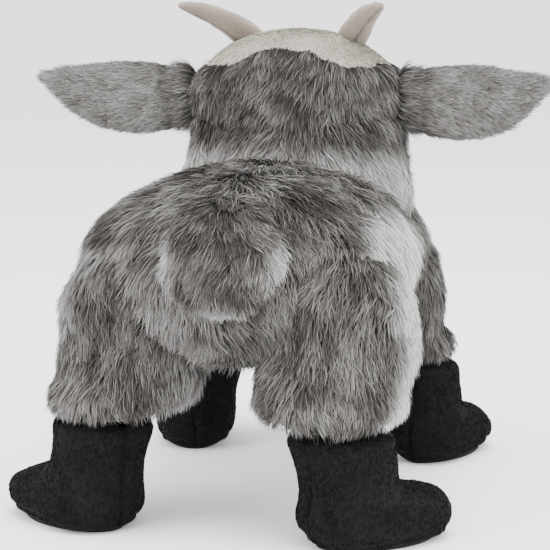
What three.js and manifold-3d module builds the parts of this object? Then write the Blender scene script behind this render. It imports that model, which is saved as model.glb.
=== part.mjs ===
// A stuffed plush goat that stands on four dark boots, with its ears held out level, two short
// horns and a broad tail flap. Millimetres, +Z up, nose towards -Y, the goat's own left is +X.
// The origin is on the floor, under the middle of the whole goat.
import * as THREE from "three";
import { mergeVertices } from "three/addons/utils/BufferGeometryUtils.js";
import Module from "manifold-3d";

const wasm = await Module();
wasm.setup();

// Overall sizes
const BODY_LENGTH = 282; // rump to chest
const RUMP_HALF_WIDTH = 98;
const CHEST_HALF_WIDTH = 78;
const BACK_HEIGHT = 203; // top of the rump above the floor
const BELLY_HEIGHT = 90; // lowest point of the belly above the floor
const BELLY_HALF_WIDTH = 42; // of the pale panel
const NECK_CUT = BACK_HEIGHT - 13; // height at which the head's skin meets the body's
const HEAD_LENGTH = 158; // back of the skull to the nose
const HEAD_HALF_WIDTH = 66;
const HEAD_HALF_HEIGHT = 42;
const NECK_HALF_WIDTH = 68;

// Cloth, wire and fits
const SKIN = 2.4; // backing cloth with the root of its pile
const THIN_SKIN = 1.4; // horn cloth
const GAP = 0.35; // between pieces that touch
const STUFFING_GAP = 0.8; // between a skin and what fills it
const TURN_GAP = 1.2; // between pieces that turn against each other
const WIRE_RADIUS = 1.5;
const SOLE = 3;

// Legs
const LEG_SWING = 15; // degrees each way
const REAR_LEG_X = 62; // middle of the thigh from the middle of the body
const FRONT_LEG_X = 56;
const STANCE_LEAN = 4; // how far the haunches lean to the goat's right over the boots
const REAR_POCKET = 44; // radius of the haunch about its hip
const FRONT_POCKET = 37;
const LEG_INNER_X = 20; // where a leg's inner side meets the body
const HIP_SIDES = 16; // facets of a haunch and of its pocket
const BOOT_TOP = 61;
const BOOT_HALF_WIDTH = 31;
const BOOT_LENGTH = 92;
const BOOT_LEAN = 9; // how far the foot stands outside the boot's top

// Ears, horns, tail and face
const EAR_LENGTH = 98;
const EAR_HALF_WIDTH = 22.5;
const EAR_BEAD = 4; // radius of the rolled seam at an ear's root
const HORN_LENGTH = 74;
const HORN_RADIUS = 10;
const TAIL_LENGTH = 62;
const TAIL_HALF_WIDTH = 36;
const TAIL_LEAN = 13; // how far the flap's end hangs to the goat's right
const TAIL_BEAD = 5;
const EYE_RADIUS = 8.5;
const EYE_POST = 2.4;
const WASHER_RADIUS = 7.5;

// Places worked out from the sizes above
const rumpY = 0.46 * BODY_LENGTH;
const bodyHalf = (BACK_HEIGHT - BELLY_HEIGHT) / 2;
const bodyMid = BELLY_HEIGHT + bodyHalf;
const neckY = rumpY - 0.702 * BODY_LENGTH;
const headZ = NECK_CUT + 53;
const skullBackY = neckY + 42;
const rearHip = { y: rumpY - 0.163 * BODY_LENGTH, z: bodyMid - 14 };
const frontHip = { y: rumpY - 0.809 * BODY_LENGTH, z: bodyMid - 18 };
const FAR = 1000;

// ---------- solids ----------

// A closed geometry as a manifold solid, turned to face out if it is inside out.
function solid(geometry) {
  const plain = geometry.clone();
  plain.deleteAttribute("normal");
  plain.deleteAttribute("uv");
  const merged = mergeVertices(plain, 1e-4);
  const triVerts = new Uint32Array(merged.index.array);
  const vertProperties = merged.attributes.position.array;
  const make = () => new wasm.Manifold(new wasm.Mesh({ numProp: 3, vertProperties, triVerts }));
  let made = make();
  if (made.volume() < 0) {
    for (let i = 0; i < triVerts.length; i += 3) {
      [triVerts[i + 1], triVerts[i + 2]] = [triVerts[i + 2], triVerts[i + 1]];
    }
    made = make();
  }
  return made;
}

// A stuffed form: a lathed tube whose rings follow the stations' middles and half sizes.
// A station is [x, y, z, half size along side, half size across it]; inset shrinks all of it.
// The rings stand square to the run of the middles, or lie level.
function form(stations, { side = [1, 0, 0], around = 14, rings = 9, inset = 0, level = false } = {}) {
  const middles = stations.map(([x, y, z]) => new THREE.Vector3(x, y, z));
  const spine = new THREE.CatmullRomCurve3(middles, false, "centripetal");
  const sizes = new THREE.CatmullRomCurve3(
    stations.map(([, , , a, b]) => new THREE.Vector3(a, b, 0)), false, "catmullrom", 0.35);
  const profile = [];
  for (let k = 0; k <= rings; k++) {
    profile.push(new THREE.Vector2(k === 0 || k === rings ? 0 : 1, k));
  }
  const geometry = new THREE.LatheGeometry(profile, around);
  const place = geometry.attributes.position;
  const across = new THREE.Vector3(...side);
  for (let i = 0; i < place.count; i++) {
    const t = place.getY(i) / rings;
    const middle = spine.getPoint(t);
    const along = level ? new THREE.Vector3(0, 0, -1) : spine.getTangent(t);
    const u = across.clone().addScaledVector(along, -across.dot(along)).normalize();
    const v = new THREE.Vector3().crossVectors(along, u);
    middle.addScaledVector(along, inset * ((t === 0) - (t === 1)));
    const size = sizes.getPoint(t);
    middle.addScaledVector(u, place.getX(i) * Math.max(size.x - inset, 0.2));
    middle.addScaledVector(v, place.getZ(i) * Math.max(size.y - inset, 0.2));
    place.setXYZ(i, middle.x, middle.y, middle.z);
  }
  return solid(geometry);
}

// A box between two corners.
function box([x0, y0, z0], [x1, y1, z1]) {
  const geometry = new THREE.BoxGeometry(x1 - x0, y1 - y0, z1 - z0);
  geometry.translate((x0 + x1) / 2, (y0 + y1) / 2, (z0 + z1) / 2);
  return solid(geometry);
}

const above = (z) => box([-FAR, -FAR, z], [FAR, FAR, FAR]);
const below = (z) => box([-FAR, -FAR, -FAR], [FAR, FAR, z]);
const forward = (y) => box([-FAR, -FAR, -FAR], [FAR, y, FAR]);

// A cylinder along X, Y or Z about a point.
function rod(axis, radius, length, [x, y, z], sides = 24) {
  const geometry = new THREE.CylinderGeometry(radius, radius, length, sides);
  if (axis === "x") geometry.rotateZ(Math.PI / 2);
  if (axis === "z") geometry.rotateX(Math.PI / 2);
  geometry.translate(x, y, z);
  return solid(geometry);
}

function ellipsoid([a, b, c], [x, y, z], around = 16) {
  const geometry = new THREE.SphereGeometry(1, around, around / 2);
  geometry.scale(a, b, c);
  geometry.translate(x, y, z);
  return solid(geometry);
}

// A round wire through the points.
function wire(points, radius, steps, sides = 5) {
  const section = new THREE.Shape();
  for (let k = 0; k < sides; k++) {
    const angle = (k / sides) * 2 * Math.PI;
    const place = [radius * Math.cos(angle), radius * Math.sin(angle)];
    if (k === 0) section.moveTo(...place);
    else section.lineTo(...place);
  }
  const path = new THREE.CatmullRomCurve3(points.map((p) => new THREE.Vector3(...p)), false, "centripetal");
  return solid(new THREE.ExtrudeGeometry(section, { steps, bevelEnabled: false, extrudePath: path }));
}

// ---------- the scene graph ----------

const goat = new THREE.Group();

const cloth = (colour, roughness = 0.95) =>
  new THREE.MeshStandardMaterial({ color: colour, roughness, metalness: 0 });
const GREY_FUR = cloth(0x7d7977);
const CREAM_PILE = cloth(0xd6d2c6);
const BLACK_PLUSH = cloth(0x2b2b2c);
const SUEDE = cloth(0xb0a597);
const LINING = cloth(0xb9a79c);
const STUFFING = cloth(0xf2f0ea);
const STEEL = new THREE.MeshStandardMaterial({ color: 0x9a9ca0, roughness: 0.4, metalness: 1 });
const AMBER = new THREE.MeshStandardMaterial({ color: 0x8a5a1c, roughness: 0.1, metalness: 0 });
const PLASTIC = cloth(0xe8e8e4, 0.5);
const NOSE_CLOTH = cloth(0x4a4240, 0.7);

// A cut through a soft form can leave loose slivers beside the piece; only the piece is kept.
function add(name, made, material) {
  const bodies = made.simplify(0.02).decompose().sort((a, b) => b.volume() - a.volume());
  const mesh = bodies[0].getMesh();
  const places = new Float32Array(mesh.numVert * 3);
  for (let i = 0; i < mesh.numVert; i++) {
    places.set(mesh.vertProperties.subarray(i * mesh.numProp, i * mesh.numProp + 3), i * 3);
  }
  const geometry = new THREE.BufferGeometry();
  geometry.setAttribute("position", new THREE.BufferAttribute(places, 3));
  geometry.setIndex(new THREE.BufferAttribute(new Uint32Array(mesh.triVerts), 1));
  geometry.computeVertexNormals();
  const piece = new THREE.Mesh(geometry, material);
  piece.name = name;
  goat.add(piece);
}

// ---------- body ----------

// The barrel of the body, from the rump forward: share of the length, half width, top, half height.
const BARREL = [
  [0, 0, 0.98 * bodyHalf, 0],
  [0.045, 0.55, 0.78, 0.56],
  [0.13, 0.86, 0.95, 0.88],
  [0.27, 1, 1, 1],
  [0.45, 0.94, 0.96, 0.99],
  [0.62, 0, 0.84, 0.96],
  [0.8, 0, 0.76, 0.92],
  [0.94, 0, 0.52, 0.76],
  [1, 0, 0, 0],
];

function barrel(inset) {
  const stations = BARREL.map(([along, wide, , high], k) => {
    const chest = [0, 0, 0, 0, 0, 1.12, 1.04, 0.82, 0][k] * CHEST_HALF_WIDTH;
    const slope = Math.max(0, along - 0.45) * 26;
    return [0, rumpY - along * BODY_LENGTH, bodyMid - slope * 0.5,
      wide * RUMP_HALF_WIDTH || chest, high * bodyHalf - slope * 0.3];
  });
  stations[0][3] = stations[0][4] = 0;
  stations[8][4] = 0;
  return form(stations, { inset, around: 14, rings: 9 });
}

// The neck, from inside the chest up into the skull.
function neck(inset) {
  return form([
    [0, neckY + 16, NECK_CUT - 58, 0, 0],
    [0, neckY + 12, NECK_CUT - 48, 0.6 * NECK_HALF_WIDTH, 30],
    [0, neckY + 4, NECK_CUT - 20, 0.97 * NECK_HALF_WIDTH, 46],
    [0, neckY, NECK_CUT, NECK_HALF_WIDTH, 47],
    [0, neckY - 2, NECK_CUT + 24, 0.94 * NECK_HALF_WIDTH, 45],
    [0, neckY - 4, NECK_CUT + 48, 0.8 * NECK_HALF_WIDTH, 38],
    [0, neckY - 4, NECK_CUT + 66, 0.4 * NECK_HALF_WIDTH, 20],
    [0, neckY - 4, NECK_CUT + 72, 0, 0],
  ], { inset, around: 14, rings: 6 });
}

// A solid that runs outwards from a leg's inner side, with an outline in the Y and Z about its hip.
function hipSolid(hip, side, grow, outline) {
  const shape = new THREE.Shape(outline.map(([y, z]) => new THREE.Vector2(y, z)));
  const made = new THREE.ExtrudeGeometry(shape, { depth: FAR, bevelEnabled: false });
  made.rotateX(Math.PI / 2);
  made.rotateZ(Math.PI / 2);
  made.translate(side > 0 ? LEG_INNER_X - grow : -LEG_INNER_X + grow - FAR, hip.y, hip.z);
  return solid(made);
}

// The corners of a haunch's round top, from just above one side to just above the other.
function roundTop(radius) {
  const corners = [];
  for (let k = 1; k < HIP_SIDES / 2; k++) {
    const angle = (2 * Math.PI * k) / HIP_SIDES;
    corners.push([radius * Math.cos(angle), radius * Math.sin(angle)]);
  }
  return corners;
}

// The room that a leg needs in the body: round over its hip, and wider below for its swing.
function pocket({ hip, radius, side }) {
  const flare = THREE.MathUtils.degToRad(LEG_SWING + 2);
  const outer = radius + TURN_GAP;
  const wide = outer / Math.cos(flare);
  const foot = wide + (hip.z + 1) * Math.tan(flare);
  return hipSolid(hip, side, TURN_GAP, [
    ...roundTop(outer), [-wide, 0], [-foot, -hip.z - 1], [foot, -hip.z - 1], [wide, 0],
  ]);
}

// The reach of a leg: straight sides below its round top, and free once it is clear of the body.
function reachOf({ hip, radius, side }) {
  const low = -0.4 * radius;
  return hipSolid(hip, side, 0, [
    ...roundTop(radius), [-radius, 0], [-radius, low], [-radius - hip.z, low - hip.z],
    [radius + hip.z, low - hip.z], [radius, low], [radius, 0],
  ]);
}

const LEGS = [];
for (const [end, hip, radius, x] of [
  ["rear", rearHip, REAR_POCKET, REAR_LEG_X],
  ["front", frontHip, FRONT_POCKET, FRONT_LEG_X],
]) {
  for (const side of [1, -1]) {
    const lean = end === "rear" ? side * STANCE_LEAN : 0;
    LEGS.push({ end, hip, radius, x: x - lean, side, name: `${side > 0 ? "left" : "right"}_${end}` });
  }
}

// The Y of the rump's surface on the middle plane at a height, by the barrel's first rows.
function rumpAt(z) {
  const high = Math.abs(z - bodyMid) / bodyHalf;
  const [, [a1, , , h1], [a2, , , h2]] = BARREL;
  const along = high < h1 ? a1 * (high / h1) ** 2 : a1 + ((high - h1) / (h2 - h1)) * (a2 - a1);
  return rumpY - along * BODY_LENGTH;
}

const tailRootZ = bodyMid + 0.7434 * bodyHalf;
const TAIL_ROOT = [0, rumpAt(tailRootZ) + 8.43, tailRootZ];

// The part of the body's skin that is the belly's pale panel.
const bellyBox = (grow) => box(
  [-BELLY_HALF_WIDTH - grow, -0.3 * BODY_LENGTH - grow, 0],
  [BELLY_HALF_WIDTH + grow, 0.22 * BODY_LENGTH + grow, bodyMid - 0.62 * bodyHalf + grow],
);

const spinePath = [
  [0, rumpY - 40, bodyMid + 10],
  [0, rearHip.y - 30, bodyMid - 1],
  [0, neckY + 45, bodyMid - 3],
  [0, neckY + 10, bodyMid + 6],
  [0, neckY, bodyMid + 26],
  [0, neckY, NECK_CUT],
  [0, neckY, headZ - 6],
];

function addBody() {
  const headRoom = rod("z", NECK_HALF_WIDTH + 4, 200, [0, neckY, NECK_CUT - GAP + 100], 24);
  const tailRoom = rod("x", TAIL_BEAD + TURN_GAP, TAIL_HALF_WIDTH, TAIL_ROOT, 12);
  const whole = (inset) => barrel(inset).add(neck(inset));
  let skin = whole(0).subtract(whole(SKIN)).subtract(headRoom).subtract(tailRoom);
  let core = whole(SKIN + STUFFING_GAP).subtract(headRoom).subtract(wire(spinePath, WIRE_RADIUS + GAP, 12));
  core = core.subtract(rod("x", TAIL_BEAD + TURN_GAP + SKIN, TAIL_HALF_WIDTH + 8, TAIL_ROOT, 12));
  for (const leg of LEGS) {
    skin = skin.subtract(pocket(leg));
    core = core.subtract(pocket(leg));
    const stubAt = [leg.side * LEG_INNER_X * 0.7, leg.hip.y, leg.hip.z];
    core = core.subtract(rod("x", WIRE_RADIUS + TURN_GAP, LEG_INNER_X, stubAt, 8));
  }
  add("body_skin", skin.subtract(bellyBox(GAP)), GREY_FUR);
  add("belly_panel", skin.intersect(bellyBox(0)), CREAM_PILE);
  add("body_stuffing", core, STUFFING);
  add("spine_wire", wire(spinePath, WIRE_RADIUS, 12), STEEL);
}

// ---------- legs ----------

function thigh(leg, inset) {
  const { side, hip, x, end } = leg;
  const big = end === "rear" ? 1 : 0.8;
  const deep = end === "rear" ? 1 : 0.82;
  const ankle = ankleOf(leg);
  const knee = [side * (x + 0.2 * (ankle.x - x)), hip.y + 0.35 * (ankle.y - hip.y)];
  return form([
    [side * (x - 6), hip.y, hip.z + 0.86 * leg.radius, 0, 0],
    [side * (x - 5), hip.y, hip.z + 0.7 * leg.radius, 18 * big, 24 * deep],
    [side * (x - 2), hip.y, hip.z + 0.22 * leg.radius, 37 * big, 42 * deep],
    [side * x, hip.y, hip.z - 0.42 * leg.radius, 41 * big, 42.6 * deep],
    [knee[0], knee[1], 0.5 * (hip.z + BOOT_TOP) - 8, 41 * big, 41 * deep],
    [side * ankle.x, ankle.y, BOOT_TOP, 36 * big, 36 * deep],
    [side * ankle.x, ankle.y, BOOT_TOP - 12, 0, 0],
  ], { inset, around: 12, rings: 6, level: true });
}

// Where a leg meets its boot.
function ankleOf({ end, hip }) {
  return end === "rear" ? { x: REAR_LEG_X + 9, y: hip.y + 20 } : { x: FRONT_LEG_X + 18, y: hip.y - 12 };
}

// The boot: a shaft with a foot that points forward, turned out about the ankle.
function boot(leg, inset) {
  const wide = BOOT_HALF_WIDTH * (leg.end === "rear" ? 1 : 0.88);
  const ankle = ankleOf(leg);
  const at = (z) => [leg.side * (ankle.x + BOOT_LEAN * (1 - z / BOOT_TOP)), ankle.y, z];
  const shaft = form([
    [...at(BOOT_TOP + 12), 0, 0],
    [...at(BOOT_TOP + 8), 0.8 * wide, 0.8 * wide],
    [...at(BOOT_TOP - 4), 0.95 * wide, wide],
    [...at(0.5 * BOOT_TOP), 0.93 * wide, 0.98 * wide],
    [...at(0.2 * BOOT_TOP), 0.9 * wide, wide],
    [...at(-10), 0.5 * wide, 0.6 * wide],
    [...at(-14), 0, 0],
  ], { inset, around: 10, rings: 5, level: true });
  const heel = 0.36 * BOOT_LENGTH;
  const foot = form([
    [0, heel, 13, 0, 0],
    [0, heel - 5, 14, 0.6 * wide, 13],
    [0, heel - 20, 16, 0.93 * wide, 20],
    [0, heel - 44, 16, wide, 21],
    [0, heel - 68, 14, 0.94 * wide, 18],
    [0, heel - BOOT_LENGTH + 7, 12, 0.66 * wide, 14],
    [0, heel - BOOT_LENGTH, 11, 0, 0],
  ], { inset, around: 10, rings: 7 });
  return foot.rotate([0, 0, leg.side * TOE_OUT[leg.name]])
    .translate([leg.side * (ankle.x + BOOT_LEAN), ankle.y, 0]).add(shaft);
}

// How far each foot points outwards, in degrees.
const TOE_OUT = { left_rear: 58, right_rear: 44, left_front: 18, right_front: 18 };

function addLeg(leg) {
  const { side, hip, name } = leg;
  const ankle = ankleOf(leg);
  const reach = reachOf(leg);
  const upper = (inset) => barrel(inset).intersect(above(hip.z - 0.2 * leg.radius + inset))
    .add(thigh(leg, inset));
  const path = [
    [side * LEG_INNER_X * 0.35, hip.y, hip.z],
    [side * (LEG_INNER_X + 4), hip.y, hip.z],
    [side * (leg.x - 14), hip.y, hip.z],
    [side * (leg.x - 3), hip.y, hip.z - 8],
    [side * (leg.x + 2), hip.y, hip.z - 26],
    [side * ankle.x, ankle.y, BOOT_TOP],
    [side * (ankle.x + 0.7 * BOOT_LEAN), ankle.y, SOLE + 10],
  ];
  const room = wire(path, WIRE_RADIUS + GAP, 10);
  const legSkin = upper(0).subtract(upper(SKIN)).intersect(reach).subtract(room)
    .intersect(above(BOOT_TOP + GAP));
  const bootSkin = boot(leg, 0).subtract(boot(leg, SKIN))
    .intersect(below(BOOT_TOP)).intersect(above(SOLE + GAP));
  const sole = boot(leg, 0).intersect(above(0)).intersect(below(SOLE));
  const core = upper(SKIN + STUFFING_GAP).intersect(reach).intersect(above(BOOT_TOP))
    .add(boot(leg, SKIN + STUFFING_GAP).intersect(below(BOOT_TOP + 0.1)).intersect(above(SOLE + GAP)));
  add(`${name}_leg_skin`, legSkin, GREY_FUR);
  add(`${name}_boot`, bootSkin, BLACK_PLUSH);
  add(`${name}_sole`, sole, BLACK_PLUSH);
  add(`${name}_leg_stuffing`, core.subtract(room), STUFFING);
  add(`${name}_leg_wire`, wire(path, WIRE_RADIUS, 10), STEEL);
}

// ---------- head ----------

// The skull and muzzle from back to front: share of the length, drop, half width, half height.
const SKULL = [
  [0, -3, 0, 0],
  [0.05, -2, 0.6, 0.62],
  [0.17, -1, 0.93, 0.92],
  [0.34, 0, 1, 1],
  [0.51, 6, 0.82, 0.9],
  [0.66, 16, 0.57, 0.72],
  [0.81, 25, 0.45, 0.6],
  [0.94, 31, 0.37, 0.5],
  [1, 33, 0, 0],
];

function skull(inset) {
  return form(SKULL.map(([along, drop, wide, high]) => [
    0, skullBackY - along * HEAD_LENGTH, headZ - drop, wide * HEAD_HALF_WIDTH, high * HEAD_HALF_HEIGHT,
  ]), { inset, around: 16, rings: 9 });
}

const headWhole = (inset) => skull(inset).add(neck(inset));
const muzzleY = skullBackY - 0.72 * HEAD_LENGTH;
const noseY = skullBackY - HEAD_LENGTH;
const noseZ = headZ - 33;
const earRoot = [HEAD_HALF_WIDTH + 2.2, skullBackY - 0.26 * HEAD_LENGTH, headZ - 2];
const eyePlace = [0.68 * HEAD_HALF_WIDTH, skullBackY - 0.53 * HEAD_LENGTH, headZ + 0.26 * HEAD_HALF_HEIGHT];
const eyeAim = new THREE.Vector3(0.86, -0.42, 0.28).normalize();

// A rod pointing along an eye's axis, from one depth to another (positive is outwards).
function eyeRod(side, radius, from, to, sides = 10) {
  const aim = new THREE.Vector3(side * eyeAim.x, eyeAim.y, eyeAim.z);
  const geometry = new THREE.CylinderGeometry(radius, radius, to - from, sides);
  geometry.translate(0, (from + to) / 2, 0);
  geometry.applyQuaternion(new THREE.Quaternion().setFromUnitVectors(new THREE.Vector3(0, 1, 0), aim));
  geometry.translate(side * eyePlace[0], eyePlace[1], eyePlace[2]);
  return solid(geometry);
}

function eyeDome(side, grow) {
  const aim = new THREE.Vector3(side * eyeAim.x, eyeAim.y, eyeAim.z);
  const geometry = new THREE.SphereGeometry(EYE_RADIUS + grow, 12, 8);
  geometry.scale(1, 0.62, 1);
  geometry.applyQuaternion(new THREE.Quaternion().setFromUnitVectors(new THREE.Vector3(0, 1, 0), aim));
  geometry.translate(side * eyePlace[0], eyePlace[1], eyePlace[2]);
  return solid(geometry);
}

const EYE_DEPTH = -6; // where an eye's post meets its washer, from the dome's middle
const WASHER = 2;

function hornSpine(side) {
  const base = [0.46 * HEAD_HALF_WIDTH, skullBackY - 0.33 * HEAD_LENGTH, headZ + 0.8 * HEAD_HALF_HEIGHT];
  const step = HORN_LENGTH / 74;
  const at = (x, y, z) => [side * (base[0] + x * step), base[1] + y * step, base[2] + z * step];
  return [
    at(-3, -9, -8), at(1, -3, -2), at(9, 9, 7), at(18, 26, 15), at(27, 41, 20), at(32, 50, 22), at(34, 54, 22),
  ];
}

function horn(side, inset) {
  const radii = [0.98, 1, 0.92, 0.74, 0.5, 0.28, 0];
  const sizes = radii.map((share) => share * HORN_RADIUS);
  const stations = hornSpine(side).map((place, k) => [...place, sizes[k], 0.82 * sizes[k]]);
  stations.unshift([...hornSpine(side)[0].map((v, k) => v + [0, -2, -2][k]), 0, 0]);
  return form(stations, { inset, around: 10, rings: 8 });
}

function addHead() {
  const keep = above(NECK_CUT);
  const earSeats = [1, -1].map((side) =>
    rod("z", EAR_BEAD + TURN_GAP, 2.5 * EAR_HALF_WIDTH, [side * earRoot[0], earRoot[1], earRoot[2]], 10));
  const eyes = [1, -1].map((side) => eyeDome(side, GAP).add(eyeRod(side, EYE_POST + GAP, EYE_DEPTH - 8, 0)));
  const washers = [1, -1].map((side) =>
    eyeRod(side, WASHER_RADIUS + GAP, EYE_DEPTH - WASHER - 2 * GAP, EYE_DEPTH + 1));
  let shell = headWhole(0).subtract(headWhole(SKIN)).intersect(keep);
  let core = headWhole(SKIN + STUFFING_GAP).intersect(keep)
    .subtract(wire(spinePath, WIRE_RADIUS + TURN_GAP, 12));
  for (const seat of earSeats) {
    shell = shell.subtract(seat);
    core = core.subtract(seat);
  }
  for (const eye of [...eyes, ...washers]) {
    shell = shell.subtract(eye);
    core = core.subtract(eye);
  }
  // The pale crown caps the skull from its back to the brow; the pale muzzle is in front.
  const crownFront = skullBackY - 0.6 * HEAD_LENGTH;
  const crownLow = headZ + 0.6 * HEAD_HALF_HEIGHT;
  const crownBox = (grow) => box([-FAR, crownFront - grow, crownLow - grow], [FAR, FAR, FAR]);
  const pale = shell.intersect(crownBox(0));
  add("head_skin", shell.subtract(crownBox(GAP)).subtract(forward(muzzleY + GAP)), GREY_FUR);
  add("crown_patch", pale, CREAM_PILE);
  add("muzzle_skin", shell.intersect(forward(muzzleY)), CREAM_PILE);
  add("head_stuffing", core, STUFFING);
  const face = headWhole(-GAP);
  const nose = ellipsoid([12, 7, 8.5], [0, noseY + 2, noseZ + 3], 12).subtract(face);
  add("nose", nose, NOSE_CLOTH);
  for (const side of [1, -1]) {
    const word = side > 0 ? "left" : "right";
    const post = eyeRod(side, EYE_POST, EYE_DEPTH - 6, 0);
    add(`${word}_eye`, eyeDome(side, 0).add(post), AMBER);
    const ring = eyeRod(side, WASHER_RADIUS, EYE_DEPTH - WASHER, EYE_DEPTH)
      .subtract(eyeRod(side, EYE_POST + GAP, EYE_DEPTH - 9, 1));
    add(`${word}_eye_washer`, ring.subtract(eyeDome(side, GAP)), PLASTIC);
        add(`${word}_horn_skin`, horn(side, 0).subtract(horn(side, THIN_SKIN)).subtract(face), SUEDE);
    add(`${word}_horn_stuffing`, horn(side, THIN_SKIN + GAP).subtract(face), STUFFING);
  }
}

// ---------- ears ----------

// An ear is a flat leaf that stands out from a rolled seam; the seam turns in a groove in the head.
function addEar(side) {
  const [x, y, z] = earRoot;
  const length = EAR_LENGTH;
  const wide = EAR_HALF_WIDTH;
  const stations = [
    [0, 0, 0, 0], [2, 0, 0.56, 3.6], [16, 0, 0.76, 4.4], [36, -1, 0.96, 4.6], [56, -1, 1, 4.4],
    [76, 2, 0.88, 3.8], [93, 6, 0.6, 3], [103, 9, 0.32, 2.2], [107, 10, 0, 0],
  ].map(([out, rise, half, thick]) => [
    side * (x + (out / 107) * length), y + 0.0018 * out * out, z + rise, half * wide, thick,
  ]);
  const leaf = form(stations, { side: [0, 0, 1], around: 10, rings: 8 });
  const bead = rod("z", EAR_BEAD, 1.15 * wide, [side * x, y, z], 10);
  const before = (gap) => form(
    stations.map(([a, b, c, d]) => [a, b - 30 - gap, c, d + 8, 30]), { side: [0, 0, 1], around: 10, rings: 8 });
  const word = side > 0 ? "left" : "right";
  const clear = rod("z", EAR_BEAD + GAP, 2 * wide + 20, [side * x, y, z], 12);
  add(`${word}_ear_back`, leaf.subtract(before(0)).add(bead), GREY_FUR);
  add(`${word}_ear_lining`, leaf.intersect(before(GAP)).subtract(clear), LINING);
}

// ---------- tail ----------

function addTail() {
  const [, y, z] = TAIL_ROOT;
  // How far behind the rump and down from the root, half width, half thickness
  const stations = [
    [8.43, 0, 0, 0], [8.91, -1.5, 0.5, 4.6], [8.06, -12, 0.8, 5.6], [8.46, -26, 0.98, 6], [8.39, -42, 1, 5.6],
    [10.21, -54, 0.8, 4.6], [12.59, -62, 0.45, 3.2], [14.31, -66, 0, 0],
  ].map(([behind, down, half, thick]) => {
    const level = z + (down / 66) * TAIL_LENGTH;
    return [(down / 66) * TAIL_LEAN, rumpAt(level) + behind, level, half * TAIL_HALF_WIDTH, thick];
  });
  const flap = form(stations, { around: 10, rings: 8 });
  const bead = rod("x", TAIL_BEAD, 0.9 * TAIL_HALF_WIDTH, [0, y, z], 12);
  const under = (gap) => form(
    stations.map(([a, b, c, d]) => [a, b - 24 - gap, c - 10, d + 8, 26]), { around: 10, rings: 8 });
  add("tail_panel", flap.subtract(under(0)).add(bead), GREY_FUR);
  const clear = rod("x", TAIL_BEAD + GAP, 2.5 * TAIL_HALF_WIDTH, [0, y, z], 12);
  add("tail_lining", flap.intersect(under(GAP)).subtract(clear), CREAM_PILE);
}

addBody();
for (const leg of LEGS) addLeg(leg);
addHead();
for (const side of [1, -1]) addEar(side);
addTail();

// The origin goes on the floor under the middle of the whole goat.
const whole = new THREE.Box3().setFromObject(goat);
const middle = whole.getCenter(new THREE.Vector3());
goat.position.set(-middle.x, -middle.y, -whole.min.z);

export default goat;
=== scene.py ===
"""Looks for the stuffed goat: pile cloth as fine strands over stuffed forms, boots, horns and face."""
import math

import bpy
import numpy as np
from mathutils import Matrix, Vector, kdtree
from mathutils.bvhtree import BVHTree


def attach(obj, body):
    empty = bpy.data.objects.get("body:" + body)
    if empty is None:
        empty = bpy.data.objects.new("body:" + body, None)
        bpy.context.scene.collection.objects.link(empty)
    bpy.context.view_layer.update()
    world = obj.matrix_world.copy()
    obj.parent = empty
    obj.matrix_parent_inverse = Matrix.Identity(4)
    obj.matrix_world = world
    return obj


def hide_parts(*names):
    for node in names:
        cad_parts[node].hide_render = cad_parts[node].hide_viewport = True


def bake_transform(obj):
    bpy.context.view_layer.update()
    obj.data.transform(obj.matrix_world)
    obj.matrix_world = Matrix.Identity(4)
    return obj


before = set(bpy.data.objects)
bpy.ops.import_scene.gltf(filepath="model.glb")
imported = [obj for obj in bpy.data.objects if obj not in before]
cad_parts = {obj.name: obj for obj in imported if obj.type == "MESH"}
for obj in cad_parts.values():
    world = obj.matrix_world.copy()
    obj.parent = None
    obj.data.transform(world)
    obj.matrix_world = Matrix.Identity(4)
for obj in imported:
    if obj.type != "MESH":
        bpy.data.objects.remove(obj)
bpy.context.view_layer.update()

MM = 0.001
rng = np.random.default_rng(7)

# ---------- places, in millimetres in the row frame ----------

RUMP_Y = 152.4
BODY_LENGTH = 282.0
BODY_MID = 146.5
BODY_HALF = 56.5
RUMP_HALF_WIDTH = 98.0
CHEST_HALF_WIDTH = 78.0
NECK_Y = -45.5
NECK_CUT = 190.0
NECK_HALF_WIDTH = 68.0
SKULL_BACK_Y = -3.5
HEAD_Z = 243.0
HEAD_LENGTH = 158.0
HEAD_HALF_WIDTH = 66.0
HEAD_HALF_HEIGHT = 42.0
BOOT_TOP = 61.0
BOOT_HALF_WIDTH = 31.0
BOOT_LENGTH = 92.0
BOOT_LEAN = 9.0  # how far the foot stands outside the boot's top
HEEL = 0.36 * BOOT_LENGTH  # from the ankle's middle back to the heel
TAIL_ROOT = np.array([0.0, 134.4, 188.5])
EAR_ROOT = np.array([68.2, -44.6, 241.0])
TAIL_SHIFT = 12.0  # how far the flap's middle hangs to the goat's right
PANEL_TOP = 96.0  # the pale belly panel lies below this
PANEL_HALF_WIDTH = 40.0
HORN_RADIUS = 10.0
EYE_RADIUS = 8.5
COAT = 3.5  # how far the backing lies under the outside of the pile's root

# A leg's hip is its y and z and its ankle its x and y; r is the haunch's radius about the hip, x the
# middle of the thigh and toe the degrees that the foot turns out. The rest are shares of a hind leg's sizes.
HIND = dict(hip=(106.5, 132.5), r=44.0, ankle=(71.0, 126.5), big=1.0, deep=1.0, boot=1.0)
FORE = dict(hip=(-75.7, 128.5), r=37.0, ankle=(74.0, -87.7), big=0.8, deep=0.82, boot=0.88)
LEGS = {
    "left_rear": dict(HIND, side=1, x=58.0, toe=58),
    "right_rear": dict(HIND, side=-1, x=66.0, toe=44),
    "left_front": dict(FORE, side=1, x=56.0, toe=18),
    "right_front": dict(FORE, side=-1, x=56.0, toe=18),
}
SIDES = {"left": 1, "right": -1}


# ---------- forms ----------

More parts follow.
